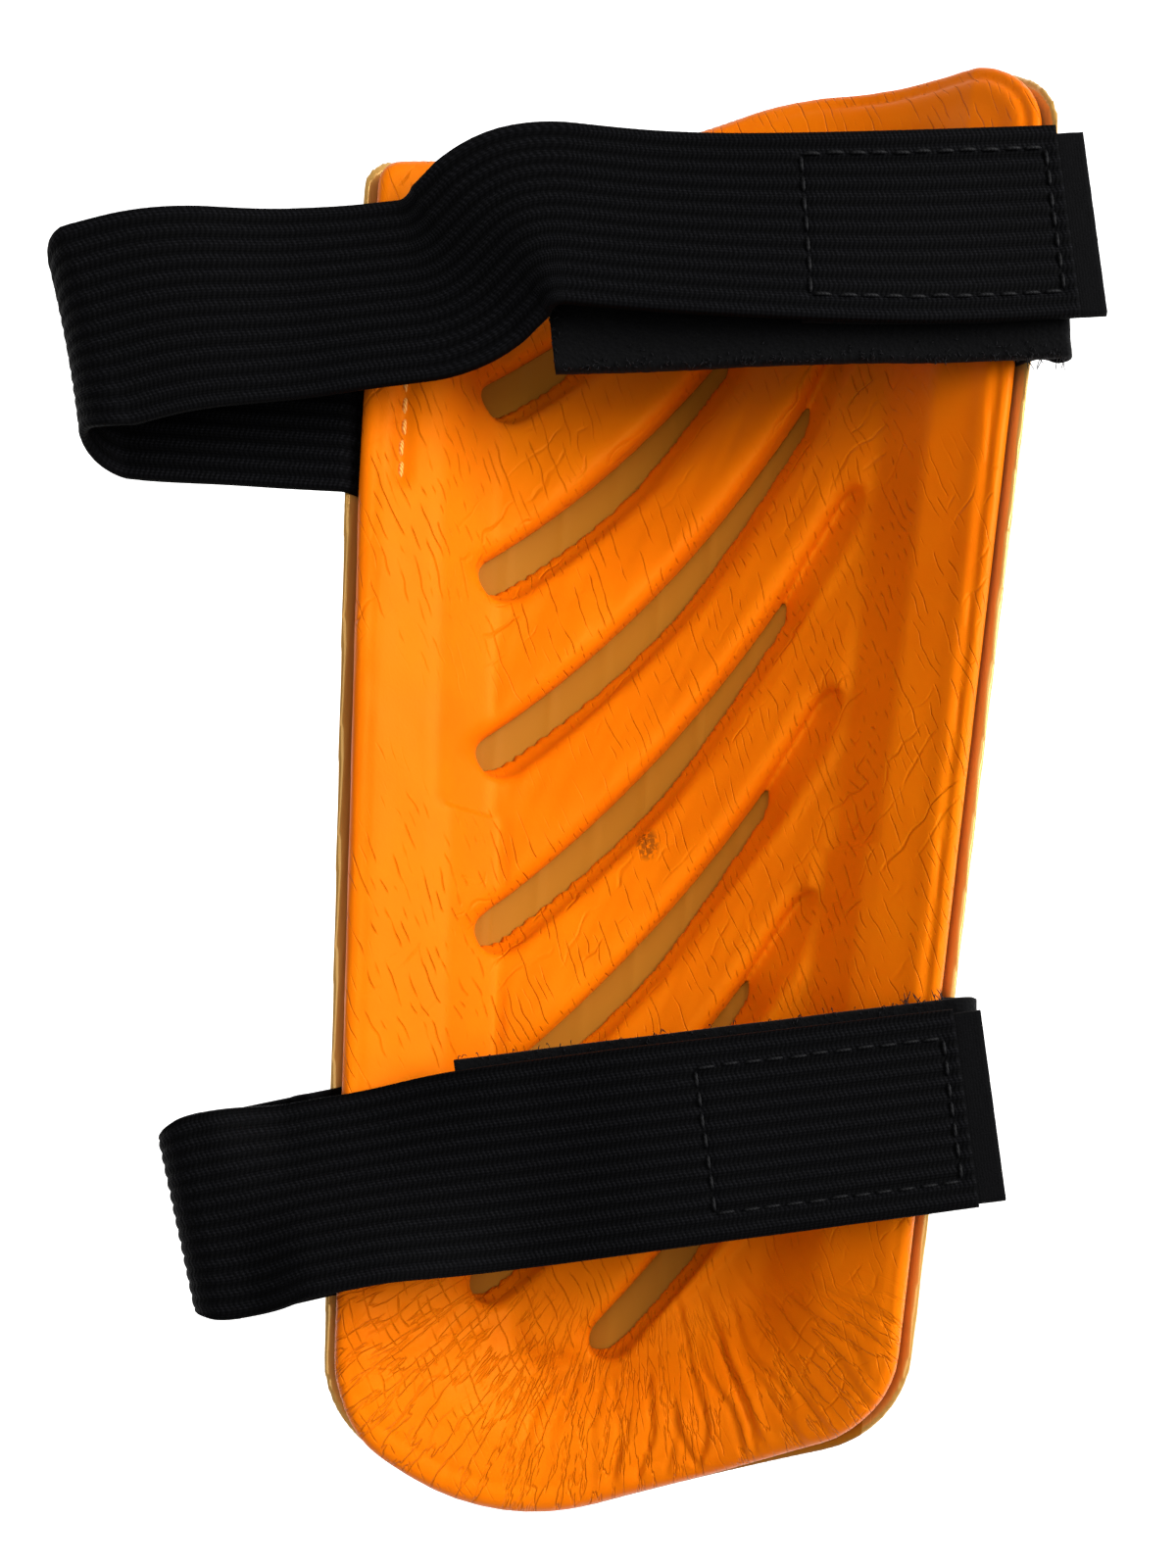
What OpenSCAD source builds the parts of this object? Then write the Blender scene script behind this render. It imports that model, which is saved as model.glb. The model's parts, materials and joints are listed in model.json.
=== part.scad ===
// Shin guard for ball sports: hard shell, moulded foam pad and two elastic bands.
// Upright as worn: Z up to the knee, -Y towards the leg, origin on the pad where the shin rests.
// Left as seen from the leg side is where the bands are anchored, right is where they close.

/* [Guard] */
// Height of the top edge above the shin seat, at its high right end
top_right = 128.5; // [124:0.5:134]
// Height of the top edge above the shin seat, at its low left corner
top_left = 97; // [94:1:102]
// How far below the shin seat the two slanting bottom edges would meet
bottom_drop = 115.9; // [112:0.1:120]
// Distance from the middle to the right edge at the top, the widest place
knee_half = 56; // [55:0.1:58]
// Distance from the middle to the left edge at the calf
calf_half = 50.6; // [50:0.1:53]
// Distance from the middle to either edge at the ankle
ankle_half = 45.4; // [44:0.1:47]
// Radius of the high top corner
knee_round = 15; // [12:1:20]

/* [Shell] */
// Radius of the shell's outer face around the leg
shell_r = 70; // [68:0.5:78]
// Thickness of the hard shell
shell_t = 1.8; // [1.2:0.1:2.4]

/* [Foam pad] */
// Foam thickness in the recessed middle
panel_t = 4; // [3.5:0.1:4.5]
// Foam thickness where the side rails begin
rail_t = 7.5; // [6.5:0.1:8.5]
// Tilt of the flat side rails
rail_tilt = 30; // [24:1:34]
// Distance from the middle to the inner edge of a rail
rail_in = 37.6; // [37:0.2:39]
// Distance from the middle to the foot of the bevel
bevel_in = 33.2; // [33:0.1:34]
// How far the foam stays inside the shell's edge
foam_inset = 2.4; // [1.6:0.1:3.2]
// How much the rails sink under the bands
band_relief = 0.4; // [0.2:0.1:0.8]

/* [Vents] */
// Number of curved slots through the foam
vent_count = 7; // [5:1:7]
// Width of a slot
vent_w = 6.6; // [5:0.2:8]
// Radius of each slot's curve
vent_bend = 300; // [250:10:400]
// Distance between slots along the left side
vent_pitch = 28.4; // [28:0.1:29]

/* [Bands] */
// Width of the elastic
band_w = 30; // [26:1:32]
// Thickness of the elastic
band_t = 1.4; // [1:0.1:1.8]
// Thickness of the hook patch
hook_t = 1.6; // [1.2:0.1:2]
// Length of the hook patch
hook_l = 47; // [40:1:50]
// Thickness of the loop tab
tab_t = 1.8; // [1.4:0.1:2.2]
// Distance from the middle to the fold of the upper band
upper_reach = 83; // [80:1:90]
// Distance from the middle to the fold of the lower band
lower_reach = 61; // [60:1:68]

/* [Hidden] */
back_r = shell_r - shell_t;
panel_r = back_r - panel_t;
rail_r = back_r - rail_t;
far = 200;
gap = 0.1;
hinge_gap = 0.05;
thread_t = 0.4;
thread_w = 0.8;
root_depth = 13;
fold_room = 20;
fold_lap = 0.4;
tab_clear = 0.4;
seam_in = 8.2;
seam_short = 4;
tab_seam_in = 7;
tab_seam_short = 6;
box_seam_end = 2;
box_seam_side = 3;
cap_start = 18;
hook_over = 4.5;
hook_w = band_w - 1.5;
left_relief = [38, -43];
right_relief = [62, -18];
vent_left_x = -29.2;
vent_left_z = 67;
vent_left_lean = 1.35;
vent_right_x = 32;
vent_right_z = 157.6;
vent_right_lean = 1.5;
vent_right_pitch = 33.5;
// The first two slots and the last are cut short by the ends of the recess.
last_vent = 6;
last_vent_from = 0.36;
first_vents_to = [0.3, 0.66, 1];
calf_z = 50;
ankle_z = -98;
toe_z = -95;
toe_x = -19;
knee_bend = 11;
low_corner_round = 8;
bend_round = 40;
ankle_round = 20;
toe_round = 32;
straight_round = 500;
min_round = 3;
recess_round = 14;
recess_top_gap = 13;
recess_low_z = -72;
recess_right_z = -60;
recess_toe = [-16, 16];

foam_color = [0.95, 0.46, 0.03];
shell_color = [0.78, 0.60, 0.34];
band_color = [0.05, 0.05, 0.055];
tab_color = [0.08, 0.08, 0.085];
thread_color = [0.02, 0.02, 0.02];

// Depth at x of a round wall that shares the shell's axis.
function wall_y(r, x) = sqrt(r * r - x * x) - panel_r;
// Depth at x of the flat rail's face.
function rail_y(x) = wall_y(rail_r, rail_in) - (x - rail_in) * tan(rail_tilt);
// Distance from the middle to the left edge (side -1) or the right edge (side 1) at height z.
function half_at(z, side) = side > 0
  ? ankle_half + (knee_half - ankle_half) * (z - ankle_z) / (top_right - ankle_z)
  : ankle_half + (calf_half - ankle_half) * (min(z, calf_z) - ankle_z) / (calf_z - ankle_z);

// Corners of the guard's outline as [x, z, radius], clockwise from the low top corner.
corners = [[-calf_half, top_left, low_corner_round], [knee_bend, top_right - 1, bend_round],
  [knee_half, top_right, knee_round], [half_at(toe_z, 1), toe_z, ankle_round - 1],
  [toe_x, -bottom_drop, toe_round], [-ankle_half, ankle_z, ankle_round],
  [-calf_half, calf_z, straight_round]];

function unit(v) = v / norm(v);
function flat(c) = [c[0], c[1]];
// The same outline moved inwards by d.
function inset(c, d) = [for (i = [0:len(c) - 1])
  let (a = unit(flat(c[i]) - flat(c[(i + len(c) - 1) % len(c)])),
       b = unit(flat(c[(i + 1) % len(c)]) - flat(c[i])),
       na = [a[1], -a[0]],
       nb = [b[1], -b[0]],
       p = flat(c[i]) + d * (na + nb) / (1 + na * nb))
  [p[0], p[1], max(c[i][2] - d, min_round)]];
// Points of an outline with every corner rounded.
function rounded(c, steps) = [for (i = [0:len(c) - 1])
  let (p = flat(c[i]),
       u = unit(flat(c[(i + len(c) - 1) % len(c)]) - p),
       v = unit(flat(c[(i + 1) % len(c)]) - p),
       half = acos(u * v) / 2,
       centre = p + unit(u + v) * c[i][2] / sin(half),
       start = p + u * c[i][2] / tan(half) - centre,
       a0 = atan2(start[1], start[0]),
       n = half > 80 ? 3 : steps)
  for (k = [0:n]) centre + c[i][2] * [cos(a0 - (180 - 2 * half) * k / n), sin(a0 - (180 - 2 * half) * k / n)]];

// A flat outline in X and Z, given depth from y = front to y = back.
module slab(front, back) {
  translate([0, back, 0]) rotate([90, 0, 0]) linear_extrude(back - front) children();
}

// A cross-section in X and Y, as tall as the guard.
module column() {
  translate([0, 0, -far]) linear_extrude(2 * far) children();
}

module wall_circle(r) {
  translate([0, -panel_r]) circle(r = r);
}

module shell() {
  color(shell_color)
    intersection() {
      slab(-far, far) polygon(rounded(corners, 8));
      column() difference() {
        wall_circle(shell_r);
        wall_circle(back_r);
        translate([-far, -far - panel_r]) square([2 * far, far]);
      }
    }
}

// Everything in front of the foam, from the rails inwards.
module front_section(sink) {
  translate([0, sink]) polygon([[-far, rail_y(far)], [-rail_in, rail_y(rail_in)],
    [rail_in, rail_y(rail_in)], [far, rail_y(far)], [far, -3 * far], [-far, -3 * far]]);
}

// The dished recess with its sloping sides.
module recess_section() {
  intersection() {
    wall_circle(panel_r);
    translate([-bevel_in, -far]) square([2 * bevel_in, 2 * far]);
  }
  polygon([[-rail_in, rail_y(rail_in)], [-bevel_in, wall_y(panel_r, bevel_in)],
    [bevel_in, wall_y(panel_r, bevel_in)], [rail_in, rail_y(rail_in)]]);
}

// Corners of the recess, whose sides are cut off by the bevels.
recess_corners = [[-calf_half, top_left - recess_top_gap + 1, 6],
  [knee_bend, top_right - recess_top_gap, bend_round],
  [knee_half, top_right - recess_top_gap, recess_round],
  [ankle_half, recess_right_z, recess_round], [rail_in - 3, recess_low_z - 10, 12],
  [recess_toe[0], -bottom_drop + recess_toe[1], recess_round], [-calf_half, recess_low_z, 10]];

// Middles of slot i's rounded ends as [x, z], on the left and on the right.
function vent_left(i) = [vent_left_x + vent_left_lean * i, vent_left_z - vent_pitch * i];
function vent_right(i) = [vent_right_x - vent_right_lean * i, vent_right_z - vent_right_pitch * i];
// Parts of slot i's curve where it starts and ends.
function vent_from(i) = i == last_vent ? last_vent_from : 0;
function vent_to(i) = first_vents_to[min(i, 2)];
// Points from angle a0 to angle a1 on a circle.
function arc(centre, r, a0, a1, steps) = [for (k = [0:steps])
  let (t = a0 + (a1 - a0) * k / steps) centre + r * [cos(t), sin(t)]];

module vent(i) {
  a = vent_left(i);
  b = vent_right(i);
  along = unit(b - a);
  rise = sqrt(vent_bend * vent_bend - norm(b - a) * norm(b - a) / 4);
  centre = (a + b) / 2 + rise * [-along[1], along[0]];
  sweep = 2 * asin(norm(b - a) / 2 / vent_bend);
  start = atan2(a[1] - centre[1], a[0] - centre[0]);
  a0 = start + sweep * vent_from(i);
  a1 = start + sweep * vent_to(i);
  w = vent_w / 2;
  polygon(concat(
    arc(centre, vent_bend + w, a0, a1, 10),
    arc(centre + vent_bend * [cos(a1), sin(a1)], w, a1 + cap_start, a1 + 180 - cap_start, 8),
    arc(centre, vent_bend - w, a1, a0, 10),
    arc(centre + vent_bend * [cos(a0), sin(a0)], w, a0 + 180 + cap_start, a0 + 360 - cap_start, 8)));
}

// Two shallow cuts in one rail, above and below the stretch between the bands.
module band_relief_cut(x, ends) {
  intersection() {
    column() front_section(band_relief);
    for (z = [ends[0], ends[1] - far])
      translate([x, -far, z]) cube([2 * far - rail_in, 2 * far, far]);
  }
}

module foam_pad() {
  color(foam_color)
    difference() {
      intersection() {
        slab(-far, far) polygon(rounded(inset(corners, foam_inset), 8));
        column() difference() {
          wall_circle(back_r);
          front_section(0);
          intersection() {
            wall_circle(rail_r);
            translate([-rail_in, -far]) square([2 * rail_in, 2 * far]);
          }
        }
      }
      intersection() {
        slab(-far, far) polygon(rounded(recess_corners, 6));
        column() recess_section();
      }
      slab(-far, far) for (i = [0:vent_count - 1]) vent(i);
      band_relief_cut(-2 * far, left_relief);
      band_relief_cut(rail_in, right_relief);
      for (b = [upper, lower]) {
        root_curve(b[anchor_z], -1, band_t);
        root_curve(b[tab_z], 1, band_t);
      }
    }
}

// Each band: height where it leaves the left edge, slope of its inner leg, fold's x, fold's tilt,
// length from fold to the bend, slope there, length after the bend, slope there, then the tab's
// height where it leaves the right edge, its slope and its length.
upper = [61.4, -3.5, -upper_reach, 13.45, 68.6, 23.4, 78, 6.3, 93.4, 10, 78.5];
lower = [-63, -17, -lower_reach, 15.1, 100.7, 13.2, 14, 13.2, -39.1, 11.8, 76.1];
anchor_z = 0;
inner_slope = 1;
fold_x = 2;
fold_tilt = 3;
first_l = 4;
first_slope = 5;
last_l = 6;
last_slope = 7;
tab_z = 8;
tab_slope = 9;
tab_l = 10;

function edge_half(z, side) = half_at(z + band_w / 2, side);
// Where a strip leaves the guard's side, just clear of the shell's rim.
function exit_x(z, side) = edge_half(z, side) + 1;
function exit_y(z, side) = wall_y(back_r, edge_half(z, side)) - gap;
// The stack in front of the right rail: tab, hook patch, elastic. The tab clears both the rail and
// its own tongue.
function tab_back(b) = min(rail_y(edge_half(b[tab_z], 1) - foam_inset) - gap,
  exit_y(b[tab_z], 1) - band_t - tab_clear);
function hook_back(b) = tab_back(b) - tab_t - hinge_gap;
function band_back(b) = hook_back(b) - hook_t;
function fold_z(b) = b[anchor_z] + (-b[fold_x] - exit_x(b[anchor_z], -1)) * tan(b[inner_slope]);

// A strip curved along the shell's inner face, at height z on one side.
module root_curve(z, side, t) {
  reach = edge_half(z, side) - foam_inset + 1;
  intersection() {
    column() difference() {
      wall_circle(back_r);
      wall_circle(back_r - t);
    }
    translate([side < 0 ? -reach : reach - root_depth, -panel_r, z - band_w / 2])
      cube([root_depth, shell_r, band_w]);
  }
}

// The flat tongue that carries a strip past the shell's rim.
module root_tongue(z, side, short) {
  start = edge_half(z, side) - foam_inset + gap;
  reach = exit_x(z, side) - start - short;
  translate([side < 0 ? -start - reach : start, exit_y(z, side) - band_t, z - band_w / 2])
    cube([reach, band_t, band_w]);
}

module band_root(b) {
  color(band_color) {
    root_curve(b[anchor_z], -1, band_t);
    root_tongue(b[anchor_z], -1, hinge_gap);
  }
}

// A strip's flat part and its half-round fold, seen along the fold line and open towards +X.
module fold_section(front, back, wall) {
  r = (back - front) / 2;
  translate([0, (front + back) / 2]) difference() {
    circle(r = r);
    circle(r = r - wall);
    translate([0, -far]) square([far, 2 * far]);
  }
  translate([0, back - wall]) square([far, wall]);
}

// The same strip in space, folded about a tilted line through the point at = [x, z].
module folded_strip(at, tilt, side, front, back) {
  translate([at[0], 0, at[1]]) rotate([0, -tilt, 0]) rotate([0, side < 0 ? 0 : 180, 0])
    translate([0, 0, -far / 2]) linear_extrude(far) fold_section(front, back, band_t);
}

// Direction of the fold line, and the strip's upper and lower end points on it.
function fold_dir(b) = [-sin(b[fold_tilt]), cos(b[fold_tilt])];
function fold_point(b, s) = [b[fold_x], fold_z(b)] + s * band_w / 2 * fold_dir(b);

module band_inner_leg(b) {
  z = b[anchor_z];
  low = fold_point(b, -1) - fold_lap * ray(b[fold_tilt]);
  high = fold_point(b, 1) - fold_lap * ray(b[fold_tilt]);
  out = -fold_room * ray(b[fold_tilt]);
  color(band_color) intersection() {
    folded_strip([b[fold_x], fold_z(b)], b[fold_tilt], -1, band_back(b) - band_t, exit_y(z, -1));
    slab(-far, far) polygon([[-exit_x(z, -1), z - band_w / 2], low, low + out, high + out, high,
      [-exit_x(z, -1), z + band_w / 2]]);
  }
}

function ray(slope) = [cos(slope), sin(slope)];
function side_of(slope) = [-sin(slope), cos(slope)];
function bend_point(b) = [b[fold_x], fold_z(b)] + b[first_l] * ray(b[first_slope]);
function end_point(b) = bend_point(b) + b[last_l] * ray(b[last_slope]);
function bend_side(b) = side_of((b[first_slope] + b[last_slope]) / 2)
  * band_w / 2 / cos((b[first_slope] - b[last_slope]) / 2);

module band_outer_leg(b) {
  start = hinge_gap * [1, 0];
  end_side = side_of(b[last_slope]) * band_w / 2;
  bend = b[first_slope] == b[last_slope] ? [] : [bend_point(b)];
  color(band_color) slab(band_back(b) - band_t, band_back(b)) polygon(concat(
    [fold_point(b, -1) + start],
    [for (p = bend) p - bend_side(b)],
    [end_point(b) - end_side, end_point(b) + end_side],
    [for (p = bend) p + bend_side(b)],
    [fold_point(b, 1) + start]));
}

// Places a flat shape at the free end of a band, with x measured from the elastic's end.
module at_end(b, front, back) {
  slab(front, back) translate(end_point(b)) rotate(b[last_slope]) children();
}

module hook_patch(b) {
  color(tab_color) at_end(b, band_back(b), hook_back(b))
    translate([hook_over - hook_l, -hook_w / 2]) square([hook_l, hook_w]);
}

module hook_stitches(b) {
  box_l = hook_l - hook_over - 2 * box_seam_end;
  box_w = hook_w - 2 * box_seam_side;
  color(thread_color) at_end(b, band_back(b) - band_t - thread_t, band_back(b) - band_t)
    translate([-box_seam_end - box_l, -box_w / 2]) difference() {
      square([box_l, box_w]);
      translate([thread_w, thread_w]) square([box_l - 2 * thread_w, box_w - 2 * thread_w]);
    }
}

// A line of thread on the face of a rail, x from the middle.
module rail_thread(x, z, length) {
  side = x < 0 ? -1 : 1;
  translate([x, rail_y(abs(x)) + band_relief, z - length / 2]) rotate([0, 0, -side * rail_tilt])
    translate([-thread_w / 2, -thread_t, 0]) cube([thread_w, thread_t, length]);
}

module band_anchor_stitches(b) {
  color(foam_color) rail_thread(-(edge_half(b[anchor_z], -1) - seam_in), b[anchor_z],
    band_w - seam_short);
}

// Ends of the line where a tab folds back over the right rail, s from -1 to 1.
function turn_point(z, tilt, s) = [exit_x(z, 1), z] + s * band_w / 2 * [-tan(tilt), 1];

module tab_root(b) {
  z = b[tab_z];
  tilt = b[tab_slope] / 2;
  start = edge_half(z, 1) - foam_inset + gap;
  out = fold_room * ray(tilt);
  color(tab_color) {
    root_curve(z, 1, band_t);
    intersection() {
      folded_strip([exit_x(z, 1), z], tilt, 1, tab_back(b) - tab_t, exit_y(z, 1));
      slab(-far, far) polygon([[start, z - band_w / 2], turn_point(z, tilt, -1),
        turn_point(z, tilt, -1) + out, turn_point(z, tilt, 1) + out, turn_point(z, tilt, 1),
        [start, z + band_w / 2]]);
    }
  }
}

module loop_tab(b) {
  start = -hinge_gap * [1, 0];
  free = [exit_x(b[tab_z], 1), b[tab_z]] - b[tab_l] * ray(b[tab_slope]);
  side = side_of(b[tab_slope]) * band_w / 2;
  color(tab_color) slab(tab_back(b) - tab_t, tab_back(b)) polygon([free - side,
    turn_point(b[tab_z], b[tab_slope] / 2, -1) + start,
    turn_point(b[tab_z], b[tab_slope] / 2, 1) + start, free + side]);
}

module tab_anchor_stitches(b) {
  color(thread_color) rail_thread(edge_half(b[tab_z], 1) - tab_seam_in, b[tab_z],
    band_w - tab_seam_short);
}

shell();
foam_pad();
band_root(upper);  // upper_band_root
band_inner_leg(upper);  // upper_band_inner_leg
band_outer_leg(upper);  // upper_band_outer_leg
hook_patch(upper);  // upper_hook_patch
hook_stitches(upper);  // upper_hook_stitches
band_anchor_stitches(upper);  // upper_band_anchor_stitches
tab_root(upper);  // upper_tab_root
loop_tab(upper);  // upper_loop_tab
tab_anchor_stitches(upper);  // upper_tab_anchor_stitches
band_root(lower);  // lower_band_root
band_inner_leg(lower);  // lower_band_inner_leg
band_outer_leg(lower);  // lower_band_outer_leg
hook_patch(lower);  // lower_hook_patch
hook_stitches(lower);  // lower_hook_stitches
band_anchor_stitches(lower);  // lower_band_anchor_stitches
tab_root(lower);  // lower_tab_root
loop_tab(lower);  // lower_loop_tab
tab_anchor_stitches(lower);  // lower_tab_anchor_stitches
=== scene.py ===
import json
import math

import bpy
import numpy as np
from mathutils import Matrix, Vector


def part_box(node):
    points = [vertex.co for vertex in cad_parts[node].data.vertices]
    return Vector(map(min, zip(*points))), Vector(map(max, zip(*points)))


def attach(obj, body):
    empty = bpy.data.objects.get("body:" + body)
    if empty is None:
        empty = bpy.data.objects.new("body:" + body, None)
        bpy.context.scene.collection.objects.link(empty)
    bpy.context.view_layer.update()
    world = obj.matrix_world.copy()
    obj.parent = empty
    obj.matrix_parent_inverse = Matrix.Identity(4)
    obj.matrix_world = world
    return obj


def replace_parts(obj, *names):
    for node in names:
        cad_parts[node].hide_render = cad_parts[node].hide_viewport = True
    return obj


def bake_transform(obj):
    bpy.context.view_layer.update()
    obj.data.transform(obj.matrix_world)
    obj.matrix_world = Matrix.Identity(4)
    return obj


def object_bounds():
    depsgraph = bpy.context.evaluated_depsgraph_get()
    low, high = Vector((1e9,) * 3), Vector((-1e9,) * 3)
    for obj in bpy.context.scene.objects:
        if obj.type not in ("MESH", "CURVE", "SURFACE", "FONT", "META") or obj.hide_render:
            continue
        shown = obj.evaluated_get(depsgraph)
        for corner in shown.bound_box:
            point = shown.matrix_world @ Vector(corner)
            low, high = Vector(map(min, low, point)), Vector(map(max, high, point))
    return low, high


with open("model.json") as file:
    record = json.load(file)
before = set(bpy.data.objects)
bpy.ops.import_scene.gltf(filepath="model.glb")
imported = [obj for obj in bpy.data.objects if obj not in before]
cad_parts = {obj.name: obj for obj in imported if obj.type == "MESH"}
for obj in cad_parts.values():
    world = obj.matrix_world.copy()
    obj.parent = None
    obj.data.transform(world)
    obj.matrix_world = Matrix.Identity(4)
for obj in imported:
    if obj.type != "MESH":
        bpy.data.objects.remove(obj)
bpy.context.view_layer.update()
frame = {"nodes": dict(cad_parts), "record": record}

import openvdb
from mathutils import Matrix, Vector

MM = 0.001
NODES = frame["nodes"]
JOINTS = {j["name"]: j for j in frame["record"]["behaviour"]["joints"]}

# The guard's cross-section in millimetres, as the CAD builds it: radii of the shell's outer and inner
# face, of the recess and of the rails, then where the rails' flats begin and how they tilt.
SHELL_R, BACK_R, PANEL_R, RAIL_R = 70.0, 68.2, 64.2, 60.7
RAIL_IN, RAIL_TILT = 37.6, math.radians(30)
# The bands' width, and the thickness of band, hook tape and loop tab.
BAND_W, BAND_T, HOOK_T, TAB_T = 30.0, 1.4, 1.6, 1.8

# Millimetres between the points of the fields that the two moulded pieces are meshed from.
VOXEL_FOAM = 0.62
VOXEL_SHELL = 0.6


# ---- small numeric helpers

def smooth_max(a, b, k):
    h = np.maximum(k - np.abs(a - b), 0) / k
    return np.maximum(a, b) + h * h * k / 4


def smooth_min(a, b, k):
    return -smooth_max(-a, -b, k)


def step(lo, hi, v):
    t = np.clip((v - lo) / (hi - lo), 0, 1)
    return t * t * (3 - 2 * t)


def bump(v, centre, width):
    return np.exp(-((v - centre) / width) ** 2)


def value_noise(u, v, seed):
    """Smooth random field from -1 to 1, with features one unit across."""
    lattice = np.random.RandomState(seed).uniform(-1, 1, (128, 128))
    iu, iv = np.floor(u).astype(int), np.floor(v).astype(int)
    fu, fv = u - iu, v - iv
    fu, fv = fu * fu * (3 - 2 * fu), fv * fv * (3 - 2 * fv)
    a, b = lattice[iu % 128, iv % 128], lattice[(iu + 1) % 128, iv % 128]
    c, d = lattice[iu % 128, (iv + 1) % 128], lattice[(iu + 1) % 128, (iv + 1) % 128]
    return (a * (1 - fu) + b * fu) * (1 - fv) + (c * (1 - fu) + d * fu) * fv


# ---- outline and pad surface

def turn_left(a, b, c):
    return (b[0] - a[0]) * (c[1] - a[1]) - (b[1] - a[1]) * (c[0] - a[0])


def cad_outline(node):
    """Convex outline of a CAD node in X and Z, in millimetres, anticlockwise."""
    pts = sorted({(round(v.co.x / MM, 3), round(v.co.z / MM, 3)) for v in NODES[node].data.vertices})

    def half(seq):
        out = []
        for p in seq:
            while len(out) > 1 and turn_left(*out[-2:], p) <= 0:
                out.pop()
            out.append(p)
        return out[:-1]
    return np.array(half(pts) + half(pts[::-1]))


def outline_distance(poly, x, z):
    """Distance outside a convex outline, negative inside."""
    best = np.full(np.broadcast(x, z).shape, -1e9)
    for p, q in zip(poly, np.roll(poly, -1, axis=0)):
        e = q - p
        n = math.hypot(*e)
        if n > 1e-6:
            best = np.maximum(best, ((x - p[0]) * e[1] - (z - p[1]) * e[0]) / n)
    return best


def wall_y(r, x):
    return np.sqrt(np.maximum(r * r - x * x, 1)) - PANEL_R


def rail_inner(z):
    """Distance from the middle to the rails' inner edge, which spreads towards the knee."""
    return 35.6 + 0.048 * z


def rail_level(x, z):
    """Depth of the pad's rails, and of the round surface that joins them across the middle."""
    s, inner = np.abs(x), rail_inner(z)
    line = wall_y(RAIL_R, RAIL_IN) - (np.maximum(s, inner) - RAIL_IN) * math.tan(RAIL_TILT)
    bow = wall_y(RAIL_R, np.minimum(s, inner)) - wall_y(RAIL_R, inner)
    return line + np.where(s < inner, bow, 0)


# The slots: bend radius, width, count, and distance apart at their left and right ends.
SLOT_BEND, SLOT_W, SLOT_COUNT, SLOT_PITCH_L, SLOT_PITCH_R = 300.0, 6.8, 7, 28.4, 33.5
# The first slot's ends, and how each next slot's ends move.
SLOT_LEFT, SLOT_LEFT_STEP = np.array([-29.2, 67]), np.array([1.35, -SLOT_PITCH_L])
SLOT_RIGHT, SLOT_RIGHT_STEP = np.array([32, 157.6]), np.array([-1.5, -SLOT_PITCH_R])
# The slots that don't run the whole way: the share at which they start or stop.
SLOT_FROM, SLOT_UNTIL = {6: 0.36}, {0: 0.3, 1: 0.66}


def slot_arc(i):
    """Centre, first angle and last angle of slot i's middle line."""
    a, b = SLOT_LEFT + SLOT_LEFT_STEP * i, SLOT_RIGHT + SLOT_RIGHT_STEP * i
    half = np.linalg.norm(b - a) / 2
    along = (b - a) / (2 * half)
    centre = (a + b) / 2 + math.sqrt(SLOT_BEND ** 2 - half ** 2) * np.array([-along[1], along[0]])
    sweep = 2 * math.asin(half / SLOT_BEND)
    start = math.atan2(*(a - centre)[::-1])
    return centre, start + sweep * SLOT_FROM.get(i, 0), start + sweep * SLOT_UNTIL.get(i, 1)


def slot_place(x, z):
    """Where a point lies on its nearest slot, with x measured on the curved pad.

    Gives the distance above the slot's middle line, the distance inside its ends and the share of
    the way from its left end to its right end."""
    shape = np.broadcast(x, z).shape
    found = [np.full(shape, v) for v in (1e9, 0.0, 0.0, 0.0)]
    for i in range(SLOT_COUNT):
        centre, a0, a1 = slot_arc(i)
        dx, dz = x - centre[0], z - centre[1]
        angle = np.arctan2(dz, dx)
        t = np.clip(angle, a0, a1)
        d = np.hypot(dx - SLOT_BEND * np.cos(t), dz - SLOT_BEND * np.sin(t))
        within = SLOT_BEND * np.minimum(angle - a0, a1 - angle) + SLOT_W / 2
        here = (d, SLOT_BEND - np.hypot(dx, dz), within, (t - a0) / (a1 - a0))
        nearer = d < found[0]
        found = [np.where(nearer, new, old) for new, old in zip(here, found)]
    return found[1:]


def slot_index(x, z):
    """Runs from 0 on the first slot's line to 6 on the last one's, smoothly across the ribs."""
    centre, _, _ = slot_arc(0)
    z0 = centre[1] - np.sqrt(SLOT_BEND ** 2 - (x - centre[0]) ** 2)
    share = (x + 29) / 60
    return (z0 - z) / (SLOT_PITCH_L + (SLOT_PITCH_R - SLOT_PITCH_L) * share)


def recess_distance(outline, x, z):
    """Distance inside the line where the rails turn down into the recess."""
    side = rail_inner(z) - np.abs(x)
    rim = -outline_distance(outline, x, z)
    end = np.where(z > 0, rim - 7, rim - 11)
    return smooth_min(side, end, 12)


def rib_puff(x, z, ramp):
    """How far the ribs between the slots puff out, most on their lower right side."""
    rise = 2.2
    q = slot_index(x, z)
    p = q - np.floor(q)
    zone = step(-34, -15, x) * step(33, 24, x) * step(0.9, 1.3, ramp)
    zone = zone * step(-0.9, -0.3, q) * step(6.6, 5.9, q)
    return rise * zone * np.sin(np.pi * p ** 2.0) ** 0.85


def rim_lip(x, z, rim):
    """A groove beside the pad's edge and a lip inside it, both strongest at the upper right."""
    groove, lip = 0.7, 0.35
    share = 0.25 + 0.75 * step(-70, -40, z) * step(10, 30, x)
    return share * (groove * bump(rim, 2.7, 0.5) - lip * bump(rim, 4.6, 1.4))


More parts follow.
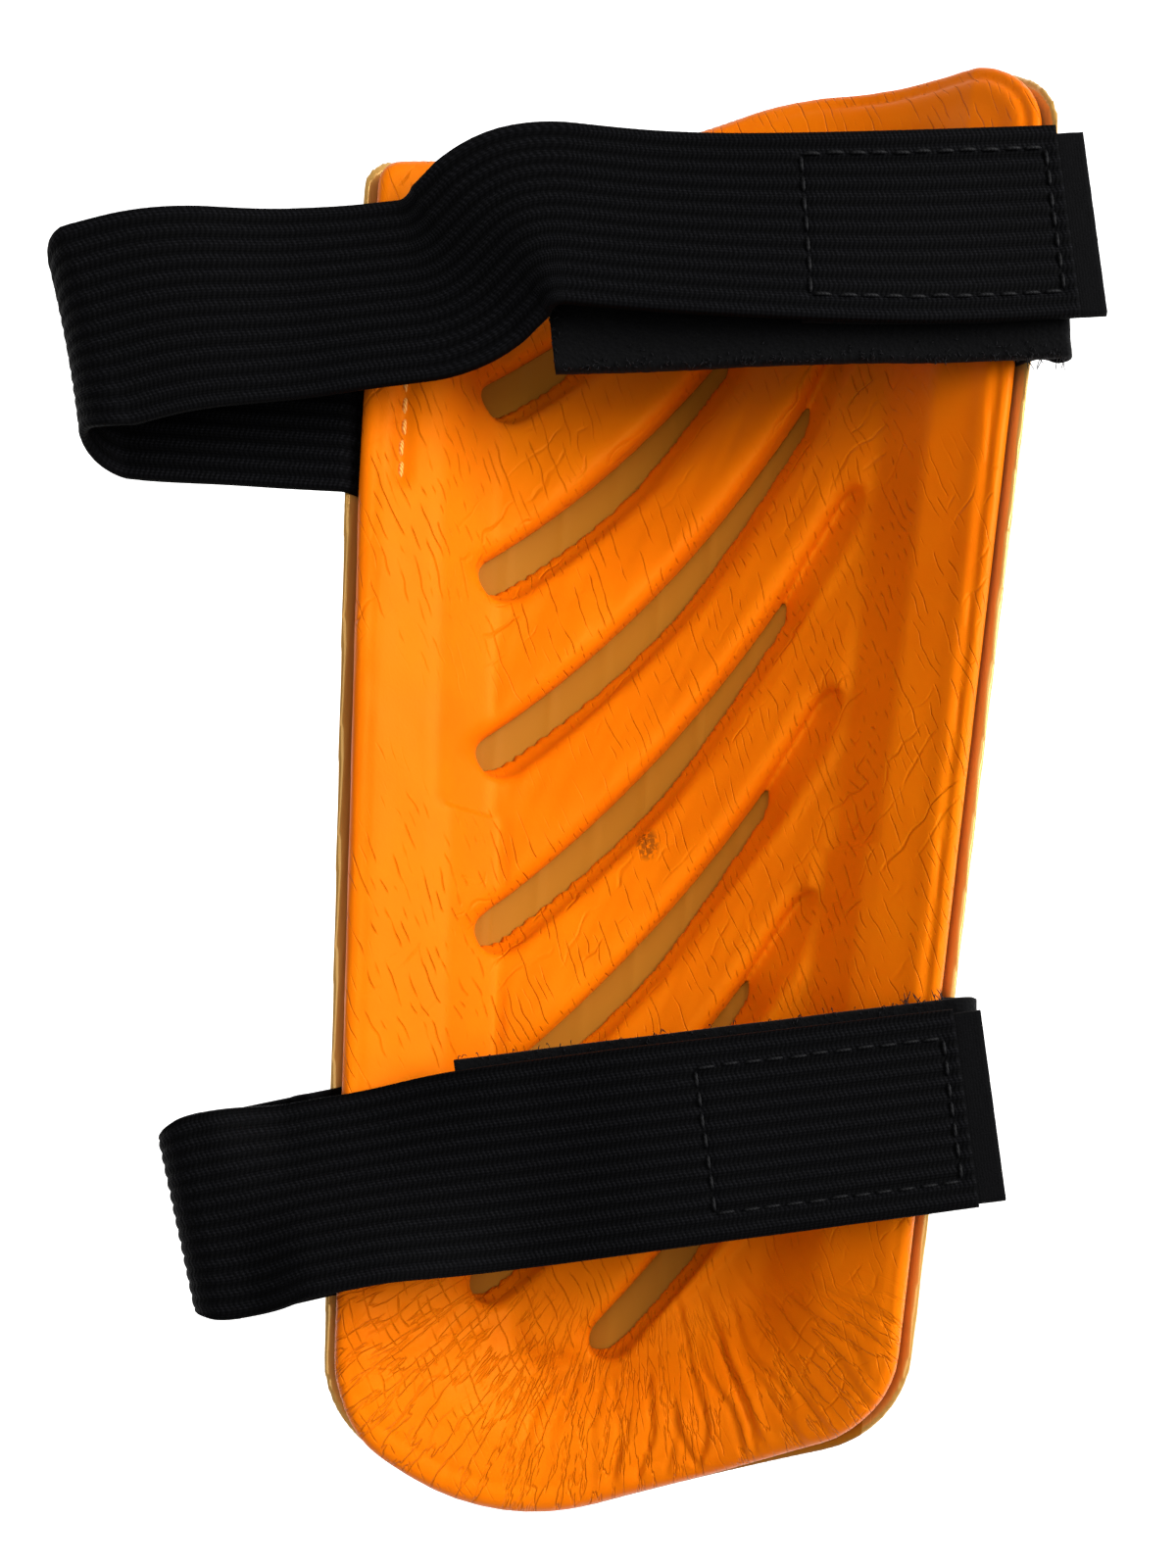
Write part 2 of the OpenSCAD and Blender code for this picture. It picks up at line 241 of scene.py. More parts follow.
def skin_unevenness(x, z, ramp):
    """Soft waves of a handled pad, folds across the ribs and shallow creases on the rails."""
    broad, small, fold, rail_crease = 0.25, 0.07, 0.10, 0.07
    lean = math.radians(20)
    along = x * math.sin(lean) + z * math.cos(lean)
    beside = x * math.cos(lean) - z * math.sin(lean)
    middle = step(1.0, 1.4, ramp) * step(-80, -60, z)
    rails = step(0.2, -0.2, ramp)
    bent = x / 3 + 0.7 * value_noise(x / 5, z / 5, 14)
    return (broad * value_noise(x / 17 + 9, z / 23 + 4, 3) + small * value_noise(x / 6, z / 7, 4)
            + fold * middle * value_noise(beside / 1.2, along / 11, 11)
            + rail_crease * rails * value_noise(bent, z / 5, 15))


def pad_surface(outline, x, z):
    """Depth of the pad's face at x, z, with every moulded feature and crease."""
    rim = -outline_distance(outline, x, z)
    toe = step(-55, -85, z)
    ramp = recess_distance(outline, x, z) / (6.8 + 4 * toe)
    crisp = 0.1 + 0.15 * toe
    share = smooth_max(smooth_min(ramp, np.ones_like(ramp), crisp + 0.1), np.zeros_like(ramp), crisp)
    rails = rail_level(x, z)
    y = rails + share * (wall_y(PANEL_R, x) - rails) - rib_puff(x, z, ramp)
    y += rim_lip(x, z, rim) + skin_unevenness(x, z, ramp)
    return y + lower_wrinkles(x, z) * step(-0.5, 1.5, rim)


def lower_wrinkles(x, z):
    """Sharp folds that run out from the recess to the bottom edge, deepest right of the middle."""
    rng = np.random.RandomState(12)
    hub_z, first, last = -52.0, -48.0, 62
    angle = np.degrees(np.arctan2(x, hub_z - z))
    radius = np.hypot(x, z - hub_z)
    total = np.zeros(np.broadcast(x, z).shape)
    at = first
    while at < last:
        start, length = rng.uniform(22, 40), rng.uniform(12, 30)
        deep = rng.uniform(0.25, 0.5) * (0.45 + 0.75 * math.exp(-((at - 16) / 26) ** 2))
        drift = rng.uniform(-0.06, 0.06) * (radius - 40)
        sway = 2.4 * value_noise(radius / 9, np.full_like(radius, at), 30) + drift
        off = np.radians(angle - at - sway) * radius
        window = step(start, start + 6, radius) * step(start + length + 8, start + length, radius)
        total += deep * window * (1.2 * bump(off, 0, 0.45) - 0.5 * bump(off, 1.1, 0.9))
        at += rng.uniform(2.2, 5.5)
    return total


def seam_line(name):
    """Middle of a rail seam in the CAD: x, and its lowest and highest z, in millimetres."""
    lo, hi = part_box(name)
    return (lo.x + hi.x) / 2 / MM, lo.z / MM, hi.z / MM


RAIL_SEAMS = {name: seam_line(name) for name in NODES if name.endswith("anchor_stitches")}


def seam_pucker(x, z):
    """How far the rail seams pull the pad's face in."""
    total = np.zeros(np.broadcast(x, z).shape)
    for sx, lo, hi in RAIL_SEAMS.values():
        total += 0.9 * bump(x, sx, 1.1) * step(lo - 2, lo + 1, z) * step(hi + 2, hi - 1, z)
        total += 0.4 * bump(x, sx, 3.4) * step(lo - 5, lo + 3, z) * step(hi + 5, hi - 3, z)
    return total


# ---- meshes

def make_mesh(name, verts_mm, faces, uv=None):
    """A smooth mesh object from points, index tuples and, for strips, the place along and across."""
    mesh = bpy.data.meshes.new(name)
    mesh.from_pydata((np.asarray(verts_mm) * MM).tolist(), [], faces)
    if uv is not None:
        layer = mesh.uv_layers.new(name="strip")
        loops = np.zeros(len(mesh.loops), int)
        mesh.loops.foreach_get("vertex_index", loops)
        layer.data.foreach_set("uv", np.asarray(uv)[loops].astype(np.float32).ravel())
    mesh.validate()
    mesh.update()
    mesh.shade_smooth()
    return add_object(name, mesh)


def add_object(name, data):
    obj = bpy.data.objects.new(name, data)
    bpy.context.scene.collection.objects.link(obj)
    return obj


def mesh_from_field(name, field, low, high, voxel):
    """Surface where field(x, y, z) is zero; field takes three broadcastable arrays in millimetres."""
    reach = 5.0
    axes = [np.arange(lo, hi + voxel, voxel) for lo, hi in zip(low, high)]
    values = field(*np.meshgrid(*axes, indexing="ij", sparse=True))
    grid = openvdb.FloatGrid(reach)
    grid.copyFromArray(np.clip(values, -reach, reach).astype(np.float32))
    points, triangles, quads = grid.convertToPolygons(0.0, 0.0)
    faces = [tuple(f) for f in triangles.tolist() + quads.tolist()]
    return make_mesh(name, points * voxel + np.array(low), faces)


def slot_cut(x, rho, flat_z):
    """Where the slots cut the foam, and how round their edges are.

    The upper left wall stands square to the curved pad. The lower right wall leans more and more
    towards the slot's right end and meets the other one, so the shell shows as a long lens."""
    reach, pitch = 60, 0.1
    fine = np.arange(-reach, reach, pitch)
    place = (x * PANEL_R / rho)[:, :, 0]
    index = np.clip(np.round((place + reach) / pitch), 0, len(fine) - 1).astype(int)
    across, within, share = (t[index] for t in slot_place(fine[:, None], flat_z))
    over = 2.0
    depth = np.clip((rho - PANEL_R + over) / (BACK_R - PANEL_R + over), 0, 1)
    half = SLOT_W / 2
    foot = half * (0.15 - 0.75 * step(0.3, 0.8, share) - 1.5 * step(0.76, 0.88, share))
    gentle = step(0.2, 0.65, share)
    mouth = half + 0.2 + 0.5 * gentle
    lower = mouth + (foot - mouth) * depth ** (3.0 - 1.6 * gentle)
    corner, round_end = 0.6, 4.6
    cut = np.minimum(smooth_min(half - across, lower + across, corner), 3 * half)
    cut = smooth_min(cut, within, round_end)
    above, below = np.clip(across / half, 0, 1), np.clip(-across / half, 0, 1)
    return cut, 1.3 + 1.7 * above + 1.2 * gentle * below


def foam_field(outline):
    """The pad: behind its face, inside its outline, in front of the shell, less slots and bands."""
    edge_round, back_round, bottom_in, band_gap = 3.2, 0.8, 1.7, 0.5

    def field(x, y, z):
        flat_x, flat_z = x[:, 0, 0][:, None], z[0, 0, :][None, :]
        rim = outline_distance(outline, flat_x, flat_z) - bottom_in * step(-92, -106, flat_z)
        surface = pad_surface(outline, flat_x, flat_z) + seam_pucker(flat_x, flat_z)
        gx, gz = np.gradient(surface, flat_x[1, 0] - flat_x[0, 0])
        steep = 1 / np.sqrt(1 + gx * gx + gz * gz)
        front = (surface[:, None, :] - y) * steep[:, None, :]
        rho = np.sqrt(x * x + (y + PANEL_R) ** 2)
        back = rho - BACK_R
        for lo, hi, side in band_spaces():
            near = step(lo - 1.5, lo, z) * step(hi + 1.5, hi, z)
            outer = step(38, 39, side * x)
            back = back + (BAND_T + band_gap) * near * outer
        solid = smooth_max(front, rim[:, None, :] + 0 * y, edge_round)
        cut, roundness = slot_cut(x, rho, flat_z)
        solid = smooth_max(solid, cut, roundness)
        return smooth_max(solid, back + 0 * z, back_round)
    return field


def shell_field(outline):
    """The shell: a curved sheet with a beaded rim and shallow lines up its inner face."""
    bead_out, bead_in, line_deep, line_pitch = 0.25, 0.75, 0.12, 8.0

    def field(x, y, z):
        flat_x, flat_z = x[:, 0, 0][:, None], z[0, 0, :][None, :]
        rim = outline_distance(outline, flat_x, flat_z)[:, None, :]
        rho = np.sqrt(x * x + (y + PANEL_R) ** 2)
        bead = step(-2.6, -1.2, rim)
        lines = sum(bump(x, k, 0.7) for k in np.arange(-28, 29, line_pitch))
        outer = rho - SHELL_R - bead_out * bead
        inner = BACK_R - bead_in * bead - rho - line_deep * lines * step(-6, -12, rim)
        wall = smooth_max(outer, inner, 0.9)
        return smooth_max(smooth_max(wall, rim, 1.2), -y - PANEL_R + 20, 1.0)
    return field


# ---- strips of elastic and tape

def rotate(v, axis, angle):
    """Vector v turned about a unit axis by each angle in an array."""
    angle = np.asarray(angle)[..., None]
    c, s = np.cos(angle), np.sin(angle)
    return v * c + np.cross(axis, v) * s + axis * (v @ axis)[..., None] * (1 - c)


class Strip:
    """The middle line of a flat strip, grown piece by piece, with the strip's own directions."""

    def __init__(self, at, along, across, front):
        self.p, self.t = [np.array(at, float)], [np.array(along, float)]
        self.w, self.n = [np.array(across, float)], [np.array(front, float)]
        self.s = [0.0]
        self.marks = {}

    def mark(self, name):
        self.marks[name] = self.s[-1]

    def tip(self):
        return self.p[-1], self.t[-1], self.w[-1], self.n[-1], self.s[-1]

    def straight(self, length):
        self.veer(0, length)

    def turn(self, axis, radius, angle, pitch=0.35):
        """Curves about an axis that crosses the strip, at any slant."""
        p, t, w, n, s = self.tip()
        axis = np.array(axis, float)
        slant = math.asin(float(t @ axis))
        square = t - axis * (t @ axis)
        square = square / np.linalg.norm(square)
        hub = p + np.cross(axis, square) * radius * math.copysign(1, angle)
        steps = max(4, int(abs(angle) * radius / pitch))
        for a in angle * np.arange(1, steps + 1) / steps:
            rise = axis * radius * abs(a) * math.tan(slant)
            self._add(hub + rotate(p - hub, axis, a) + rise, rotate(t, axis, a), rotate(w, axis, a),
                      rotate(n, axis, a), s + radius * abs(a) / math.cos(slant))

    def veer(self, angle, length, pitch=0.6):
        """Curves within the strip's own plane."""
        steps = max(2, int(length / pitch))
        d = length / steps
        for _ in range(steps):
            p, t, w, n, s = self.tip()
            t2, w2 = rotate(t, n, angle / steps), rotate(w, n, angle / steps)
            self._add(p + (t + t2) / 2 * d, t2, w2, n, s + d)

    def _add(self, p, t, w, n, s):
        self.p.append(p), self.t.append(t), self.w.append(w), self.n.append(n), self.s.append(s)

    def arrays(self):
        return [np.array(v) for v in (self.p, self.t, self.w, self.n, self.s)]

    def reshape(self, lift, twist):
        """Moves the strip along its own front by lift(s) and turns it about its length by twist(s)."""
        p, t, w, n, s = self.arrays()
        h = lift(s)
        slope = np.gradient(h, s)
        p = p + n * h[:, None]
        t, n = t + n * slope[:, None], n - t * slope[:, None]
        t, n = (v / np.linalg.norm(v, axis=1)[:, None] for v in (t, n))
        a = twist(s)[:, None]
        w, n = w * np.cos(a) + n * np.sin(a), n * np.cos(a) - w * np.sin(a)
        self.p, self.t, self.w, self.n = list(p), list(t), list(w), list(n)

    def pinch(self, at, spread, share):
        """Draws both edges in around one place, which rounds a fold's corners."""
        self.w = [w * (1 - share * math.exp(-((s - at) / spread) ** 2)) for w, s in zip(self.w, self.s)]

    def at(self, s, across, height):
        """Points on the strip at distance s, offset across it and above its middle."""
        p, _, w, n = self.between(s)
        return p + w * np.asarray(across)[..., None] + n * np.asarray(height)[..., None]

    def between(self, s):
        """Middle line and directions at any distances s."""
        *columns, known = self.arrays()
        return [np.stack([np.interp(s, known, v[:, k]) for k in range(3)], -1) for v in columns]


def ring_faces(base, rows, ring, inwards):
    """Quads between closed rings of points."""
    i, j = np.meshgrid(np.arange(rows - 1), np.arange(ring), indexing="ij")
    here, beside = base + i * ring + j, base + i * ring + (j + 1) % ring
    sides = (here + ring, beside) if inwards else (beside, here + ring)
    quads = np.stack([here, sides[0], beside + ring, sides[1]], -1).reshape(-1, 4)
    return [tuple(f) for f in quads.tolist()]


def strip_mesh(name, strip, s0, s1, width, height, cap_start=False, cap_end=False, wander=0.0):
    """A closed strip from s0 to s1. height(s, w, face) gives half the thickness on each face.

    The seed of its edges' wander comes from the length of its name."""
    count, edge = 78, 0.3
    s = strip.arrays()[-1]
    ss = np.unique(np.concatenate([[s0], s[(s > s0 + 1e-6) & (s < s1 - 1e-6)], [s1]]))
    half = width / 2
    across = np.linspace(-1, 1, count) * (half - edge)
    ring_w = np.concatenate([across, [half], across[::-1], [-half]])
    ring_f = np.concatenate([np.ones(count), [0], -np.ones(count), [0]])
    grid_s = np.repeat(ss[:, None], len(ring_w), 1)
    sway = 1 + wander * value_noise(ss / 9.0, ss * 0 + len(name), 21)[:, None]
    grid_w = ring_w[None, :] * sway
    grid_h = height(grid_s, grid_w, ring_f[None, :]) * ring_f[None, :]
    verts = strip.at(grid_s, grid_w, grid_h).reshape(-1, 3)
    m, k = len(ss), len(ring_w)
    faces = ring_faces(0, m, k, False)
    if cap_start:
        faces += cap_faces(0, count, k, False)
    if cap_end:
        faces += cap_faces((m - 1) * k, count, k, True)
    return make_mesh(name, verts, faces, uv=np.stack([grid_s.ravel(), grid_w.ravel()], -1))


def cap_faces(base, count, ring, last):
    """Closes a strip's end with one row of faces between its two sides."""
    out = [(base + a, base + a + 1, base + ring - 3 - a, base + ring - 2 - a) for a in range(count - 1)]
    out.append((base + count - 1, base + count, base + count + 1))
    out.append((base + ring - 1, base, base + ring - 2))
    return out if last else [f[::-1] for f in out]


def tube_mesh(name, lines, radius, sides=6):
    """Round threads along lists of points, all in one mesh, with domed ends."""
    verts, faces = [], []
    for line in lines:
        line = np.asarray(line, float)
        tangent = np.gradient(line, axis=0)
        tangent /= np.linalg.norm(tangent, axis=1)[:, None] + 1e-12
        ref = np.array([0.3, 0.2, 0.93]) if abs(tangent[0][2]) < 0.8 else np.array([0.95, 0.1, 0.2])
        u = np.cross(tangent, ref)
        u /= np.linalg.norm(u, axis=1)[:, None]
        v = np.cross(tangent, u)
        taper = np.ones(len(line))
        taper[0] = taper[-1] = 0.45
        base = sum(len(x) for x in verts)
        turn = (np.arange(sides) * 2 * math.pi / sides)[None, :, None]
        ring = u[:, None, :] * np.cos(turn) + v[:, None, :] * np.sin(turn)
        pts = line[:, None, :] + ring * (radius * taper)[:, None, None]
        verts.append(pts.reshape(-1, 3))
        faces += ring_faces(base, len(line), sides, True)
        last = base + (len(line) - 1) * sides
        faces += [tuple(range(base, base + sides)), tuple(range(last, last + sides))[::-1]]
    return make_mesh(name, np.concatenate(verts), faces)


# ---- the two bands

# Degrees and millimetres. A path lists the outer leg's turns in its own plane and their lengths.
BANDS = {
    "upper": dict(
        width=BAND_W, inner_slope=-3.5, outer_slope=23.4, root_bend=47, sag=-3.0, rise=1.6, lean=-10,
        # dips level, climbs towards the tab and levels out again over it
        path=((0, 3), (-9, 14), (0, 28), (28, 9), (0, 5), (-40, 12), (9, 60), (0, 15.6)),
        tab=78.5, tab_slope=10, tab_bend=47, tab_low=2.0, tab_lean=8,
        fibres=420, fibre_seed=17, frayed_side=1),
    "lower": dict(
        width=BAND_W + 1.4, inner_slope=-17, outer_slope=13.2, root_bend=41, sag=-1.2, rise=0.4,
        lean=-18, path=((4, 8), (-5.5, 30), (0, 76.7)),
        tab=76.1, tab_slope=11.8, tab_bend=43, tab_low=0, tab_lean=2,
        fibres=150, fibre_seed=18, frayed_side=-1),
}
RIBS = 13
# The hidden part of bands and tabs, and a tab's length between the rim and its fold.
ROOT_STRAIGHT, ROOT_BEND_R, TAB_PAST_RIM = 8.0, 3.0, 0.6
# Hook tape: its length, how far it passes the band's end, and how much narrower it is.
HOOK_L, HOOK_OVER, HOOK_NARROWER = 47.0, 4.5, 1.2
BOX_HALF_W = 11.25
FIBRE_R = 0.075
# How much the edges of strips wander, as a share of their width.
BAND_WANDER, TAPE_WANDER = 0.004, 0.006


def tilt_axis(degrees):
    t = math.radians(degrees)
    return np.array([-math.sin(t), 0, math.cos(t)])


def grow_root(along, across, up, bend, length):
    """A strip from its hidden root, round the bend at the rim, to the start of its fold."""
    front = np.array([0, 1.0, 0])
    run = Strip([0, 0, 0], *(rotate(v, up, bend) for v in (along, across, front)))
    run.straight(ROOT_STRAIGHT)
    run.turn(up, ROOT_BEND_R, -bend)
    run.mark("rim")
    run.straight(length)
    run.mark("fold_start")
    return run


def add_fold(run, start, axis, radius, angle):
    """Moves the strip so that its fold lands on its joint, and adds the fold."""
    shift = start - run.p[-1]
    run.p = [p + shift for p in run.p]
    run.turn(axis, radius, angle)
    run.mark("fold_end")


def band_strip(key):
    """The whole elastic: root under the pad, past the rim, round the fold, across the guard."""
    b = BANDS[key]
    exit_p = np.array(JOINTS[key + "_band_swing"]["pos_m"]) / MM
    fold_p = np.array(JOINTS[key + "_band_open"]["pos_m"]) / MM
    y_in, y_out = exit_p[1] - BAND_T / 2, fold_p[1] + BAND_T / 2
    radius = (y_in - y_out) / 2
    a_in, a_out = math.radians(b["inner_slope"]), math.radians(b["outer_slope"])
    axis = tilt_axis((b["outer_slope"] - b["inner_slope"]) / 2)
    rise = math.pi * radius * math.tan((a_in + a_out) / 2)
    along = np.array([-math.cos(a_in), 0, math.sin(a_in)])
    across = np.array([math.sin(a_in), 0, math.cos(a_in)])
    start = np.array([fold_p[0], y_in, fold_p[2]]) - axis * rise / 2
    length = np.linalg.norm((start - exit_p)[[0, 2]])
    run = grow_root(along, across, np.array([0, 0, 1.0]), math.radians(b["root_bend"]), length)
    add_fold(run, start, axis, radius, math.pi)
    for slope, reach in b["path"]:
        run.veer(math.radians(slope), reach)
    run.mark("end")
    return run


def tab_strip(key):
    """A loop tab: root under the pad's right edge, round its fold and back over the rail."""
    b = BANDS[key]
    at = np.array(JOINTS[key + "_tab_lift"]["pos_m"]) / MM
    at[2] -= b["tab_low"]
    y_in = tab_exit(at[0]) - BAND_T / 2
    radius = (y_in - at[1] - TAB_T / 2) / 2
    half_slope = b["tab_slope"] / 2
    axis = tilt_axis(half_slope)
    rise = -math.pi * radius * math.tan(math.radians(half_slope))
    start = np.array([at[0], y_in, at[2]]) - axis * rise / 2
    down = np.array([0, 0, -1.0])
    run = grow_root(np.array([1.0, 0, 0]), down, down, math.radians(b["tab_bend"]), TAB_PAST_RIM)
    add_fold(run, start, axis, radius, -math.pi)
    run.straight(b["tab"])
    run.mark("end")
    return run


def tab_exit(x):
    """Depth of the tab's outer side where it comes out between pad and shell."""
    return wall_y(BACK_R, x - 1) - 0.1


def elastic_height(box):
    """Half thickness of ribbed elastic, drawn in along the lines of the box seam."""
    pick_pitch, pick_rise, drawn_in = 1.3, 0.03, 0.22

    def height(s, w, face):
        rib = np.abs(np.sin(np.pi * (w / BAND_W + 0.5) * RIBS)) ** 0.7
        h = BAND_T / 2 * (0.62 + 0.38 * rib)
        h = h + pick_rise * np.sin(s * 2 * math.pi / pick_pitch) * rib
        return h - drawn_in * box_groove(box, s, w)
    return height


def box_groove(box, s, w):
    """1 along each side of the box seam, and 0 away from it."""
    s0, s1, half = box
    fade, spread = 0.8, 0.6
    inside_s = step(s0 - fade, s0, s) * step(s1 + fade, s1, s)
    inside_w = step(half + fade, half, np.abs(w))
    ends = bump(s, s0, spread) + bump(s, s1, spread)
    return bump(np.abs(w), half, spread) * inside_s + ends * inside_w


def pile_height(thickness, grain, pitch, seed):
    """Half thickness of tape with a rough face; thickness is a number or a function of s."""
    def height(s, w, face):
        thick = thickness(s) if callable(thickness) else thickness
        return thick / 2 + grain * value_noise(s / pitch, w / pitch + 3 * face, seed)
    return height


def box_stitches(strip, box, height):
    """Thread bars over the strip along the four sides of the box seam."""
    length, space, dip = 2.4, 0.8, 0.35
    s0, s1, half = box
    path = [(s0, -half), (s1, -half), (s1, half), (s0, half), (s0, -half)]
    lines = []
    rng = np.random.RandomState(5)
    for a, b in zip(path[:-1], path[1:]):
        a, b = np.array(a, float), np.array(b, float)
        n = max(1, int(np.linalg.norm(b - a) / (length + space)))
        for i in range(n):
            t0 = (i + 0.12 + rng.uniform(-0.04, 0.04)) / n
            t = np.linspace(t0, t0 + length / (length + space) / n, 6)
            q = a + (b - a) * t[:, None] + rng.normal(0, 0.05, 2)
            h = height + dip * (np.sin(np.linspace(0.1, 0.9, 6) * math.pi) - 0.9)
            lines.append(strip.at(q[:, 0], q[:, 1], h))
    return lines


# ---- materials

WHITE = (1, 1, 1, 1)
FOAM_DARK, FOAM_LIGHT = (0.74, 0.135, 0.0005), (0.83, 0.18, 0.0008)
# FOAM_CREASE_SHADE is painted shade along the skin's creases; FOAM_SCUFF is a rub mark on the skin.
FOAM_CREASE_SHADE, FOAM_SCUFF = (0.55, 0.09, 0.001, 1), (0.20, 0.045, 0.004, 1)
GOLD_DARK, GOLD_LIGHT, GOLD_WORN = (0.50, 0.27, 0.06), (0.66, 0.40, 0.12), (0.35, 0.2, 0.07, 1)
# The shell's inner face behind the slots: painted shade and painted orange bounce light from the foam,
# darker and more orange than the gold.
SLOT_SHADE_AND_BOUNCE_DARK, SLOT_SHADE_AND_BOUNCE_LIGHT = (0.30, 0.105, 0.006, 1), (0.40, 0.15, 0.012, 1)
LINT = (0.06, 0.055, 0.05, 1)
ELASTIC_BLACKS = ((0.1, (0.0003, 0.0003, 0.0004)), (0.5, (0.0014, 0.0014, 0.0018)),
                  (0.9, (0.008, 0.008, 0.0095)))
TAPE_BLACKS = ((0.25, (0.0005, 0.0005, 0.0006)), (0.6, (0.0022, 0.0022, 0.0026)),
               (0.9, (0.011, 0.011, 0.0125)))
# Pairs of dark and light.
FIBRE_BLACKS = (0.003, 0.003, 0.0035), (0.012, 0.012, 0.014)
THREAD_BLACKS = (0.0012, 0.0012, 0.0015), (0.006, 0.006, 0.007)
THREAD_ORANGES = (0.85, 0.24, 0.02), (1.0, 0.52, 0.13)


class Nodes:
    """Short ways to make and join shader nodes."""

    def __init__(self, name):
        self.mat = bpy.data.materials.new(name)
        self.mat.use_nodes = True
        self.tree = self.mat.node_tree
        self.bsdf = self.tree.nodes["Principled BSDF"]

    def add(self, kind, **values):
        node = self.tree.nodes.new(kind)
        for key, value in values.items():
            if key in node.inputs.keys():
                self.put(node.inputs[key], value)
            else:
                setattr(node, key, value)
        return node

    def put(self, socket, value):
        if isinstance(value, bpy.types.NodeSocket):
            self.tree.links.new(value, socket)
        else:
            socket.default_value = value

    def join(self, kind, *values, **settings):
        """A node with its first inputs filled in order."""
        node = self.add(kind, **settings)
        for socket, value in zip(node.inputs, values):
            self.put(socket, value)
        return node

    def math(self, operation, *values):
        return self.join("ShaderNodeMath", *values, operation=operation).outputs[0]

    def plus(self, a, b):
        return self.math("ADD", a, b)

    def less(self, a, b):
        return self.math("SUBTRACT", a, b)

    def times(self, a, b):
        return self.math("MULTIPLY", a, b)

    def length(self, a, b):
        return self.math("SQRT", self.plus(self.times(a, a), self.times(b, b)))

    def vector(self, operation, *values):
        return self.join("ShaderNodeVectorMath", *values, operation=operation).outputs

    def position(self):
        return self.add("ShaderNodeNewGeometry").outputs["Position"]

    def strip_uv(self):
        """Millimetres along and across a strip."""
        return self.add("ShaderNodeUVMap", uv_map="strip").outputs[0]

    def parts(self, vector):
        return self.add("ShaderNodeSeparateXYZ", Vector=vector).outputs

    def ramp(self, value, *stops):
        """Colours or greys at given values, with straight blends between them."""
        node = self.tree.nodes.new("ShaderNodeValToRGB")
        self.put(node.inputs[0], value)
        while len(node.color_ramp.elements) < len(stops):
            node.color_ramp.elements.new(0.5)
        for element, (at, colour) in zip(node.color_ramp.elements, stops):
            element.position = at
            element.color = (*colour, 1) if isinstance(colour, tuple) else (colour, colour, colour, 1)
        return node.outputs[0]

    def rises(self, value, low, high):
        """0 below low and 1 above high."""
        return self.ramp(value, (low, 0.0), (high, 1.0))

    def mix(self, factor, a, b, blend="MIX"):
        node = self.add("ShaderNodeMix", data_type="RGBA", blend_type=blend)
        for index, value in ((0, factor), (6, a), (7, b)):
            self.put(node.inputs[index], value)
        return node.outputs[2]

    def noise(self, vector, scale, detail=3.0, rough=0.5):
        node = self.add("ShaderNodeTexNoise", Vector=vector, Scale=scale, Detail=detail, Roughness=rough)
        return node.outputs[0]

    def bump(self, height, strength, distance, normal=None):
        node = self.add("ShaderNodeBump", Height=height, Strength=strength, Distance=distance)
        if normal is not None:
            self.put(node.inputs["Normal"], normal)
        return node.outputs[0]

    def finish(self, **values):
        """Fills the surface's inputs; a name's underscores stand for spaces."""
        for key, value in values.items():
            self.put(self.bsdf.inputs[key.replace("_", " ")], value)
        return self.mat


def pleats(m, at, lean, density, patch_scale, patch_level):
    """Fine broken creases side by side, 0 on a crease, that lean by so many degrees, in patches."""
    turned = m.add("ShaderNodeMapping", Vector=at, Rotation=(0, math.radians(lean), 0)).outputs[0]
    sway = m.times(m.noise(turned, 90.0, 2.0), 9.0)
    wave = m.math("ABSOLUTE", m.math("SINE", m.plus(m.times(m.parts(turned)[0], density * math.pi), sway)))
    squeezed = m.vector("MULTIPLY", turned, (density, density, 70.0))[0]
    breaks = m.rises(m.noise(squeezed, 1.0, 1.0), 0.50, 0.60)
    where = m.rises(m.noise(at, patch_scale, 2.0), patch_level, patch_level + 0.14)
    return m.mix(m.times(where, breaks), WHITE, m.rises(wave, 0.0, 0.35))


def fan_lines(m, at):
    """Fine wrinkles, 0 on a line, that run out from the recess to the pad's bottom edge."""
    hub_z, lines_round, lines_out = -0.052, 19.0, 70.0
    parts = m.parts(at)
    down = m.less(hub_z, parts[2])
    angle = m.math("ARCTAN2", parts[0], down)
    radius = m.length(parts[0], down)
    polar = m.add("ShaderNodeCombineXYZ", X=m.times(angle, lines_round), Y=m.times(radius, lines_out))
    away = m.math("ABSOLUTE", m.less(m.noise(polar.outputs[0], 1.0, 3.0, 0.55), 0.5))
    where = m.times(m.rises(radius, 0.024, 0.034), m.rises(down, 0.018, 0.028))
    return m.mix(where, WHITE, m.rises(away, 0.0, 0.028))


def scuff_mark(m, at):
    """A small broken rub mark on the middle rib, 1 where the skin is marked."""
    off = m.vector("SUBTRACT", at, (-0.0027, 0, -0.0006))[0]
    far = m.vector("LENGTH", m.vector("MULTIPLY", off, (1.4, 0, 1))[0])["Value"]
    near = m.ramp(m.times(far, 100.0), (0.18, 1.0), (0.30, 0.0))
    broken = m.rises(m.noise(at, 1100.0, 2.0, 0.6), 0.44, 0.52)
    return m.times(m.times(near, broken), 0.8)


